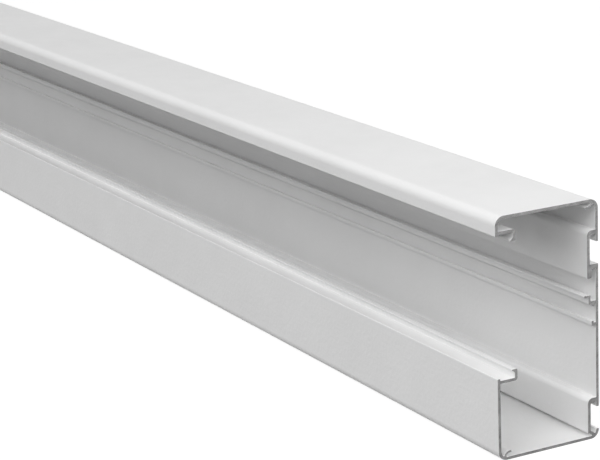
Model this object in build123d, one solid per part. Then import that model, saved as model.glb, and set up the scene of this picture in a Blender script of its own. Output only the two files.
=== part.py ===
# Base profile of a wall trunking: one extruded length of aluminium with an open front for a clip-on cover.
# Millimetres. X runs along the length, Y from the room (-Y) to the wall behind (+Y), and Z is up.
# The origin is at the middle of the underside. The section is drawn as (depth, height) points.
from build123d import *
import os

# Overall size
length = 2000.0
height = 130.0
depth = 63.0
wall = 1.5
corner_radius = 5.0
edge_radius = 0.3
root_radius = 0.4

# Front: a lip above, a front wall below, and between them the opening that the cover closes.
# The front wall and the lip end in nibs that stand a little past the seats behind them.
cover_opening = 75.0
lip_height = 10.5
nib_height = 1.1
front_edge_radius = 0.5
seat_depth = 12.1
seat_bend_radius = 1.8
catch_height = 4.7
barb_reach = 1.7
barb_height = 2.5
barb_nose = 0.7

# Rear grooves: the walls of both pockets are set off the rear plane
groove_depth = 5.25
groove_wall = 1.6
groove_web = 2.4
groove_bend_radius = 2.8
upper_groove_drop = 16.5
upper_pocket_height = 15.75
upper_lip = 3.85
lower_groove_top = 22.5
lower_lip = 2.7
slit_height = 1.8
curl_landing_angle = -50.0

# Rail inside the rear wall: a rib under the upper groove and a hook that faces it, with a bead on its arm
rib_thickness = 2.6
rib_height = 5.0
rail_gap = 9.2
rail_reach = 6.1
rail_arm_height = 4.6
bead_radius = 0.6
bead_reach = 2.75
bead_neck = 0.5
spike_offset = 3.3
spike_width = 2.1
spike_height = 1.9

# Small hook below the rail
small_hook_drop = 11.8
small_hook_reach = 4.2
small_hook_height = 2.4
hook_web = 1.4
hook_arm = 1.1

# Curved ribs in two corners, which hold a joint pin between two lengths
pin_offset = 6.9
pin_height = 1.0
pin_rib_radius = 3.3
pin_rib_thickness = 1.0
pin_rib_arc = 95.0

# A corner counts as sharp outward below the first share of metal about it, and inward above the second
outward_share = 0.4
inward_share = 0.6

front = -depth / 2
rear = depth / 2
front_wall_height = height - lip_height - cover_opening
seat_height = front_wall_height - nib_height
upper_groove_floor = height - upper_groove_drop - groove_web - upper_pocket_height


def plate(near_y, far_y, low_z, high_z):
    """Flat stretch of the section between two depths and two heights."""
    middle = Pos((near_y + far_y) / 2, (low_z + high_z) / 2)
    return middle * Rectangle(far_y - near_y, high_z - low_z)


def strip(start, end, thickness):
    """Straight stretch of the section with a given thickness about the line from start to end."""
    run = end - start
    turn = Rot(0, 0, Vector(1, 0).get_signed_angle(run, Vector(0, 0, 1)))
    return Pos(start + run * 0.5) * turn * Rectangle(run.length, thickness)


def rounded_at(face, corner, radius):
    """The face with the vertex nearest to a corner rounded."""
    vertex = face.vertices().sort_by_distance(Vector(*corner))[0]
    return fillet(vertex, radius)


def shell():
    """Closed rounded tube that the opening and the rear grooves are cut from."""
    outer = RectangleRounded(depth, height, corner_radius)
    inner = RectangleRounded(depth - 2 * wall, height - 2 * wall, corner_radius - wall)
    return Pos(0, height / 2) * (outer - inner)


def cover_seat():
    """Ledge behind the top of the front wall, with the web and barb that the cover's leg springs behind."""
    web_rear = front + seat_depth
    web_front = web_rear - wall
    tip = seat_height + catch_height
    ledge = plate(front, web_rear, seat_height - wall, seat_height)
    angle = ledge + plate(web_front, web_rear, seat_height - wall, tip)
    angle = rounded_at(angle, (web_rear, seat_height - wall), seat_bend_radius)
    root = (web_front, tip - barb_height)
    nose = (web_front - barb_reach, tip - barb_nose)
    flat_side = Polyline(root, (web_front, tip), (web_front - barb_reach, tip), nose)
    hollow_side = TangentArc(root, nose, tangent=(0, 1))
    return angle + make_face(flat_side + hollow_side)


def groove_bend(low_z, high_z):
    """Web and inner wall of a rear groove as one bent strip, hollow towards the rear and below."""
    inner_y = rear - groove_depth
    outer_y = inner_y - groove_wall
    block = rounded_at(plate(outer_y, rear, low_z, high_z), (outer_y, high_z), groove_bend_radius)
    pocket_top = high_z - groove_web
    pocket = plate(inner_y, rear, low_z, pocket_top)
    pocket = rounded_at(pocket, (inner_y, pocket_top), groove_bend_radius - groove_wall)
    return block - pocket


def upper_groove():
    """Upper rear groove: bent strip above, square web below."""
    web_bottom = upper_groove_floor - groove_web
    web = plate(rear - groove_depth - groove_wall, rear, web_bottom, upper_groove_floor)
    return groove_bend(web_bottom, height - upper_groove_drop) + web


def lower_groove():
    """Lower rear groove: its inner wall stops above the floor and slants back to the curled corner."""
    wall_end = wall + slit_height
    start = Vector(rear - groove_depth - groove_wall / 2, wall_end + wall / 2)
    curl_centre = Vector(rear - corner_radius, corner_radius)
    landing = curl_centre + Vector(corner_radius - wall / 2, 0).rotate(Axis.Z, curl_landing_angle)
    return groove_bend(wall_end, lower_groove_top) + strip(start, landing, wall)


def hook(web_z, reach, arm_height):
    """Short web off the rear wall with an arm that turns up."""
    web = plate(rear - reach, rear - wall / 2, web_z, web_z + hook_web)
    arm = plate(rear - reach, rear - reach + hook_arm, web_z, web_z + arm_height)
    return web + arm


def bead(arm_front, arm_top):
    """Round bead held out in front of the top of an arm by a thin neck."""
    centre_y = arm_front - bead_reach + bead_radius
    neck = plate(centre_y, arm_front + hook_arm / 2, arm_top - bead_neck, arm_top)
    return neck + Pos(centre_y, arm_top - bead_neck / 2) * Circle(bead_radius)


def rail():
    """Rib and hook that face each other, with the hook's bead and spike, and the small hook below."""
    rib_tip = upper_groove_floor - groove_web - rib_height
    rib_front = rear - groove_depth - groove_wall
    rib = plate(rib_front, rib_front + rib_thickness, rib_tip, upper_groove_floor)
    hook_z = rib_tip - rail_gap - rail_arm_height
    spike_y = rear - spike_offset
    spike_edge = Polyline((spike_y - spike_width / 2, hook_z), (spike_y + spike_width / 2, hook_z),
                          (spike_y, hook_z - spike_height), close=True)
    large = hook(hook_z, rail_reach, rail_arm_height) + bead(rear - rail_reach, hook_z + rail_arm_height)
    small = hook(hook_z - small_hook_drop, small_hook_reach, small_hook_height)
    return rib + large + make_face(spike_edge) + small


def pin_rib():
    """Curved rib in the lower front corner."""
    centre = (front + pin_offset, pin_height)
    return SlotArc(CenterArc(centre, pin_rib_radius, 180 - pin_rib_arc, pin_rib_arc), pin_rib_thickness)


def metal_share(corner, face):
    """Share of a small disc about a corner that is metal: well under half where the corner sticks out."""
    disc = Pos(corner.X, corner.Y) * Circle(edge_radius / 2)
    return (disc & face).area / disc.area


def softened(face):
    """The section with its sharp outward corners rounded and its sharp inward corners filled."""
    outward = [corner for corner in face.vertices() if metal_share(corner, face) < outward_share]
    face = fillet(outward, edge_radius)
    inward = [corner for corner in face.vertices() if metal_share(corner, face) > inward_share]
    return fillet(inward, root_radius)


def section():
    """Whole section in the plane of depth and height."""
    seat = cover_seat()
    opening_middle = front_wall_height + cover_opening / 2
    upper_seat = mirror(seat, about=Plane.XZ.offset(-opening_middle))
    opening = plate(front, front + wall, front_wall_height, front_wall_height + cover_opening)
    upper_mouth_top = height - upper_groove_drop - groove_web - upper_lip
    upper_mouth = plate(rear - wall, rear, upper_groove_floor, upper_mouth_top)
    lower_mouth = plate(rear - wall, rear, corner_radius, lower_groove_top - groove_web - lower_lip)
    walls = shell() - opening - upper_mouth - lower_mouth
    upper_pin_rib = Pos(0, height) * Rot(0, 0, 180) * pin_rib()
    whole = walls + seat + upper_seat + upper_groove() + lower_groove() + rail() + pin_rib() + upper_pin_rib
    whole = rounded_at(whole, (front, front_wall_height), front_edge_radius)
    whole = rounded_at(whole, (front, front_wall_height + cover_opening), front_edge_radius)
    return softened(whole)


os.makedirs("parts", exist_ok=True)
trunking_base = extrude(Plane.YZ.offset(-length / 2) * section(), length)
export_step(trunking_base, "parts/trunking_base.step")
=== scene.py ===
import math

import bpy
from mathutils import Matrix, Vector


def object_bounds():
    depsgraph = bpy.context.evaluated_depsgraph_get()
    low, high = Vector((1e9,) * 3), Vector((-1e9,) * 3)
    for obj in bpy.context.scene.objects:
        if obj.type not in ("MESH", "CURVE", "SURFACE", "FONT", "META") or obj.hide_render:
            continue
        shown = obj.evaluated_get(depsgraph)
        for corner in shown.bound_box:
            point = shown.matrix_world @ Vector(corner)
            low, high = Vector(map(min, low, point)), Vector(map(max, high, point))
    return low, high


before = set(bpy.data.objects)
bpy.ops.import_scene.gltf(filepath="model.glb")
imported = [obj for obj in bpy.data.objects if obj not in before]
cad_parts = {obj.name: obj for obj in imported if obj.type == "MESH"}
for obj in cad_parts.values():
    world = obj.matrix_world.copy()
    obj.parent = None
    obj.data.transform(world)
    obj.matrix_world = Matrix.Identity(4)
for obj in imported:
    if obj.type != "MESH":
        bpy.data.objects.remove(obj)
cad_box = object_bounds()

# Metres. X runs along the length, the open front faces -Y, and Z is up.
NODE = "trunking_base"
LENGTH_END = cad_box[1].x

# Camera: it looks at the sawn end from the front right, a little from above
CAMERA_PLACE = Vector((LENGTH_END + 0.8757, -0.6089, 0.4094))
CAMERA_YAW = math.radians(-61.921)
CAMERA_DOWN = math.radians(15.096)
CAMERA_ROLL = math.radians(-2.407)
SENSOR_WIDTH = 36.0
FOCAL_PIXELS = 2170.1
IMAGE_WIDTH = 600

# Floor: it shows nearly white, keeps a soft shadow, and sends little light back up
FLOOR_SIZE = 30.0
FLOOR_DROP = 0.0001
FLOOR_WHITE = 0.88
FLOOR_PAPER = (0.2, 0.2, 0.2, 1.0)
FLOOR_BOUNCE = (0.15, 0.15, 0.15, 1.0)

# Sky: soft lobes of light, each with its direction, sharpness and strength
WHITE = (1.0, 1.0, 1.0, 1.0)
SKY_LOBES = [
    ((0.1, -0.5, 0.85), 6.0, 1.27),
    ((0.0, -0.7, 0.7), 2.0, 0.31),
    ((-0.6, -0.6, 0.5), 6.0, 0.97),
]

# Soft lamps: name, place, target, side and power in watts
LAMPS = [
    ("front", (1.6, -1.7, 1.2), (0.7, 0.0, 0.05), 1.2, 12.6),
    ("end", (2.3, -0.2, 0.9), (0.9, 0.0, 0.05), 0.8, 7.0),
    ("end_high", (1.5, 0.25, 1.2), (0.95, 0.0, 0.03), 0.5, 2.0),
    ("end_low", (2.2, 0.3, 0.25), (0.95, 0.0, 0.03), 0.5, 9.5),
    ("end_side", (1.9, 0.75, 0.35), (0.97, 0.0, 0.02), 0.5, 1.5),
    ("back", (-0.2, 2.2, 0.1), (-0.1, 0.0, 0.06), 0.6, 22.0),
]

# White satin lacquer: two near shades in soft clouds, a fine orange peel, and faint lines along the length
LACQUER_SHADES = ((0.790, 0.790, 0.790, 1.0), (0.818, 0.818, 0.818, 1.0))
LACQUER_ROUGHNESS = (0.38, 0.50)
CLOUD_SIZE = 0.06
CLOUD_DETAIL = 3.0
GLOSS_PATCH_SIZE = 0.012
GLOSS_PATCH_DETAIL = 4.0
PEEL_SIZE = 0.0022
PEEL_DETAIL = 1.0
PEEL_DEPTH = 0.00013
DIE_LINE_GAP = 0.0016
DIE_LINE_DETAIL = 2.0
DIE_LINE_DEPTH = 0.00004
DIE_LINE_STRETCH = 0.004

# Sawn aluminium: bare grey metal with burnished patches, and the blade's arcs across it
SAWN_SHADES = ((0.085, 0.085, 0.085, 1.0), (0.205, 0.205, 0.205, 1.0))
SAWN_METALLIC = 0.8
SAWN_ROUGHNESS = (0.42, 0.60)
SAWN_RIM = 0.0001
BLADE_CENTRE = Vector((0.0, 0.11, -0.09))
SAW_LINE_GAP = 0.001
SAW_LINE_DETAIL = 3.0
SAW_LINE_DEPTH = 0.00008
SAW_LINE_TURN = 6.0
BURNISH_SIZE = 0.004
BURNISH_DETAIL = 4.0
BURNISH_SHARE = 0.5

# The part of a noise pattern's range that it mostly keeps to
NOISE_RANGE = (0.3, 0.7)

# The two inputs and the output that a Mix node uses for each kind of data
MIX_SOCKETS = {"FLOAT": (2, 3, 0), "VECTOR": (4, 5, 1), "RGBA": (6, 7, 2)}


def make_camera():
    """Camera at the photographed viewpoint, with the lens that fits a frame 600 pixels wide."""
    forward = Vector((math.sin(CAMERA_YAW) * math.cos(CAMERA_DOWN),
                      math.cos(CAMERA_YAW) * math.cos(CAMERA_DOWN),
                      -math.sin(CAMERA_DOWN)))
    right = forward.cross(Vector((0, 0, 1))).normalized()
    up = right.cross(forward)
    rolled_right = math.cos(CAMERA_ROLL) * right + math.sin(CAMERA_ROLL) * up
    rolled_up = math.cos(CAMERA_ROLL) * up - math.sin(CAMERA_ROLL) * right
    data = bpy.data.cameras.new("camera")
    data.sensor_width = SENSOR_WIDTH
    data.lens = FOCAL_PIXELS / IMAGE_WIDTH * SENSOR_WIDTH
    data.clip_end = 2 * FLOOR_SIZE
    camera = bpy.data.objects.new("camera", data)
    turn = Matrix((rolled_right, rolled_up, -forward)).transposed().to_4x4()
    camera.matrix_world = Matrix.Translation(CAMERA_PLACE) @ turn
    bpy.context.scene.collection.objects.link(camera)
    bpy.context.scene.camera = camera


def empty_tree(owner):
    """Node tree of a material or world, cleared of nodes."""
    owner.use_nodes = True
    owner.node_tree.nodes.clear()
    return owner.node_tree


def add_node(tree, kind, inputs, **settings):
    """New node with its settings, and with some inputs linked to an output or set to a plain value."""
    node = tree.nodes.new(kind)
    for name, value in settings.items():
        setattr(node, name, value)
    for name, value in inputs.items():
        if isinstance(value, bpy.types.NodeSocket):
            tree.links.new(value, node.inputs[name])
        else:
            node.inputs[name].default_value = value
    return node


def maths(tree, operation, first, second=0.0):
    """Result of a sum on sockets or plain numbers."""
    return add_node(tree, "ShaderNodeMath", {0: first, 1: second}, operation=operation).outputs[0]


def vector_maths(tree, operation, first, second):
    """Vector maths node fed by a socket and a fixed vector."""
    return add_node(tree, "ShaderNodeVectorMath", {0: first, 1: second}, operation=operation)


def mix(tree, kind, factor, first, second):
    """First value where the factor is 0 and second where it is 1, for one kind of data."""
    first_input, second_input, output = MIX_SOCKETS[kind]
    inputs = {0: factor, first_input: first, second_input: second}
    return add_node(tree, "ShaderNodeMix", inputs, data_type=kind).outputs[output]


def noise(tree, point, size, detail):
    """Soft random pattern whose patches have about the given size."""
    inputs = {"Vector": point, "Scale": 1 / size, "Detail": detail}
    return add_node(tree, "ShaderNodeTexNoise", inputs).outputs["Fac"]


def spread(tree, pattern, low, high):
    """The pattern's usual range taken to two end values."""
    usual_low, usual_high = NOISE_RANGE
    inputs = {"Value": pattern, "From Min": usual_low, "From Max": usual_high, "To Min": low, "To Max": high}
    return add_node(tree, "ShaderNodeMapRange", inputs).outputs["Result"]


def two_shades(tree, pattern, shades):
    """Colour that runs between two shades with the pattern."""
    return mix(tree, "RGBA", spread(tree, pattern, 0.0, 1.0), *shades)


def bump(tree, height, depth, **under):
    """Surface normal raised by a pattern up to a depth in metres, on top of the Normal given, if any."""
    return add_node(tree, "ShaderNodeBump", {"Height": height, "Distance": depth, **under}).outputs["Normal"]


def lit_or_seen(tree, lit, seen):
    """Shader that is one thing as a source of light, and another for the camera and mirrors."""
    path = tree.nodes.new("ShaderNodeLightPath").outputs
    mirrored = maths(tree, "MAXIMUM", path["Is Glossy Ray"], path["Is Transmission Ray"])
    direct = maths(tree, "MAXIMUM", path["Is Camera Ray"], mirrored)
    return add_node(tree, "ShaderNodeMixShader", {0: direct, 1: lit, 2: seen}).outputs[0]


def floor_material():
    """Pale floor that shows nearly white and keeps a soft shadow."""
    material = bpy.data.materials.new("floor")
    tree = empty_tree(material)
    bounce = add_node(tree, "ShaderNodeBsdfDiffuse", {"Color": FLOOR_BOUNCE}).outputs[0]
    paper = add_node(tree, "ShaderNodeBsdfDiffuse", {"Color": FLOOR_PAPER}).outputs[0]
    white = add_node(tree, "ShaderNodeEmission", {"Strength": FLOOR_WHITE}).outputs[0]
    seen = add_node(tree, "ShaderNodeAddShader", {0: paper, 1: white}).outputs[0]
    add_node(tree, "ShaderNodeOutputMaterial", {"Surface": lit_or_seen(tree, bounce, seen)})
    return material


def make_floor():
    """Level floor under the trunking."""
    half = FLOOR_SIZE / 2
    mesh = bpy.data.meshes.new("floor")
    corners = [(-half, -half, 0), (half, -half, 0), (half, half, 0), (-half, half, 0)]
    mesh.from_pydata(corners, [], [(0, 1, 2, 3)])
    floor = bpy.data.objects.new("floor", mesh)
    floor.location = (0, 0, cad_box[0].z - FLOOR_DROP)
    mesh.materials.append(floor_material())
    bpy.context.scene.collection.objects.link(floor)


def sky_lobe(tree, direction, sharpness, strength):
    """Brightness of one soft patch of sky, strongest in its own direction."""
    place = tree.nodes.new("ShaderNodeTexCoord").outputs["Generated"]
    facing = vector_maths(tree, "DOT_PRODUCT", place, Vector(direction).normalized()).outputs["Value"]
    toward = maths(tree, "MAXIMUM", facing)
    return maths(tree, "MULTIPLY", maths(tree, "POWER", toward, sharpness), strength)


def make_world():
    """Soft studio sky for the light, and plain white for what the camera and mirrors see."""
    world = bpy.data.worlds.new("studio")
    bpy.context.scene.world = world
    tree = empty_tree(world)
    total = 0.0
    for lobe in SKY_LOBES:
        total = maths(tree, "ADD", sky_lobe(tree, *lobe), total)
    sky = add_node(tree, "ShaderNodeBackground", {"Color": WHITE, "Strength": total}).outputs[0]
    white = add_node(tree, "ShaderNodeBackground", {"Color": WHITE}).outputs[0]
    add_node(tree, "ShaderNodeOutputWorld", {"Surface": lit_or_seen(tree, sky, white)})


def make_lamps():
    """Soft lamps in front, off the near end and low behind."""
    for name, place, target, side, power in LAMPS:
        data = bpy.data.lights.new(name, "AREA")
        data.size = side
        data.energy = power
        lamp = bpy.data.objects.new(name, data)
        aim = Vector(target) - Vector(place)
        turn = aim.to_track_quat("-Z", "Y").to_matrix().to_4x4()
        lamp.matrix_world = Matrix.Translation(place) @ turn
        bpy.context.scene.collection.objects.link(lamp)


def lacquer(tree, point):
    """Colour, roughness and normal of white satin lacquer: an orange peel over the lines of the extrusion."""
    along = vector_maths(tree, "MULTIPLY", point, (DIE_LINE_STRETCH, 1.0, 1.0)).outputs["Vector"]
    clouds = noise(tree, point, CLOUD_SIZE, CLOUD_DETAIL)
    gloss = noise(tree, point, GLOSS_PATCH_SIZE, GLOSS_PATCH_DETAIL)
    lines = bump(tree, noise(tree, along, DIE_LINE_GAP, DIE_LINE_DETAIL), DIE_LINE_DEPTH)
    peel = bump(tree, noise(tree, point, PEEL_SIZE, PEEL_DETAIL), PEEL_DEPTH, Normal=lines)
    return two_shades(tree, clouds, LACQUER_SHADES), spread(tree, gloss, *LACQUER_ROUGHNESS), peel


def arc_point(tree, point):
    """Place on a sawn end as distance from the blade's centre and turn about it."""
    arm = vector_maths(tree, "SUBTRACT", point, BLADE_CENTRE).outputs["Vector"]
    parts = add_node(tree, "ShaderNodeSeparateXYZ", {0: arm}).outputs
    across, up = parts["Y"], parts["Z"]
    squares = maths(tree, "ADD", maths(tree, "MULTIPLY", across, across), maths(tree, "MULTIPLY", up, up))
    turn = maths(tree, "MULTIPLY", maths(tree, "ARCTAN2", across, up), SAW_LINE_TURN * SAW_LINE_GAP)
    return add_node(tree, "ShaderNodeCombineXYZ", {"X": maths(tree, "SQRT", squares), "Y": turn}).outputs[0]


def sawn_metal(tree, point):
    """Colour, roughness and normal of bare sawn aluminium, with the arcs that the blade leaves."""
    marks = noise(tree, arc_point(tree, point), SAW_LINE_GAP, SAW_LINE_DETAIL)
    burnish = noise(tree, point, BURNISH_SIZE, BURNISH_DETAIL)
    colour = two_shades(tree, mix(tree, "FLOAT", BURNISH_SHARE, marks, burnish), SAWN_SHADES)
    return colour, spread(tree, marks, *SAWN_ROUGHNESS), bump(tree, marks, SAW_LINE_DEPTH)


def sawn_part(tree, point):
    """Socket that is 1 on the two sawn ends and 0 on the drawn surfaces."""
    along = add_node(tree, "ShaderNodeSeparateXYZ", {0: point}).outputs["X"]
    return maths(tree, "GREATER_THAN", maths(tree, "ABSOLUTE", along), LENGTH_END - SAWN_RIM)


def trunking_material():
    """Lacquer on the drawn surfaces and bare metal on the two sawn ends."""
    material = bpy.data.materials.new("lacquered_aluminium")
    tree = empty_tree(material)
    point = tree.nodes.new("ShaderNodeTexCoord").outputs["Object"]
    sawn = sawn_part(tree, point)
    colours, roughnesses, normals = zip(lacquer(tree, point), sawn_metal(tree, point))
    surface = add_node(tree, "ShaderNodeBsdfPrincipled", {
        "Base Color": mix(tree, "RGBA", sawn, *colours),
        "Roughness": mix(tree, "FLOAT", sawn, *roughnesses),
        "Metallic": maths(tree, "MULTIPLY", sawn, SAWN_METALLIC),
        "Normal": mix(tree, "VECTOR", sawn, *normals),
    })
    add_node(tree, "ShaderNodeOutputMaterial", {"Surface": surface.outputs[0]})
    return material


make_camera()
make_world()
make_floor()
make_lamps()
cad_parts[NODE].material_slots[0].material = trunking_material()
bpy.context.scene.view_settings.view_transform = "Standard"
